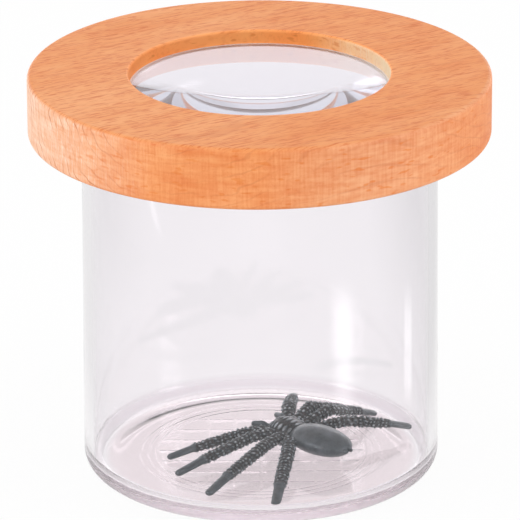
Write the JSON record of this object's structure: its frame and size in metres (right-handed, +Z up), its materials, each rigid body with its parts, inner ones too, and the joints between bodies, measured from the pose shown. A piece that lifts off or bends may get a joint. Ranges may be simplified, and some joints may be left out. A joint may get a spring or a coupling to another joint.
{
  "type": "bug catcher jar",
  "caption": "Clear round jar with a push-on turned wooden lid that holds a magnifying lens, and a loose soft toy spider inside.",
  "frame": {"origin": "centre of the foot ring that the cup stands on, at the surface under it", "axes": "+Z up along the cup's axis, the side seen in the picture faces -Y"},
  "size_m": [0.085, 0.085, 0.0765],
  "materials": {
    "clear_polystyrene": "clear gloss",
    "beech": "bare, finely sanded",
    "clear_acrylic": "clear polished",
    "clear_ring_plastic": "translucent",
    "soft_vinyl": "soft satin"
  },
  "bodies": {
    "cup": {"cup": "clear_polystyrene"},
    "lid": {"lid_ring": "beech", "magnifier_lens": "clear_acrylic", "lens_retaining_ring": "clear_ring_plastic"},
    "spider": {"toy_spider": "soft_vinyl"}
  },
  "joints": [
    {"name": "lid_lift", "type": "slide", "parent": "cup", "child": "lid", "axis": [0, 0, 1], "range_m": [0, 0.06]},
    {"name": "spider_lift", "type": "slide", "parent": "cup", "child": "spider", "axis": [0, 0, 1], "range_m": [0, 0.059]}
  ]
}
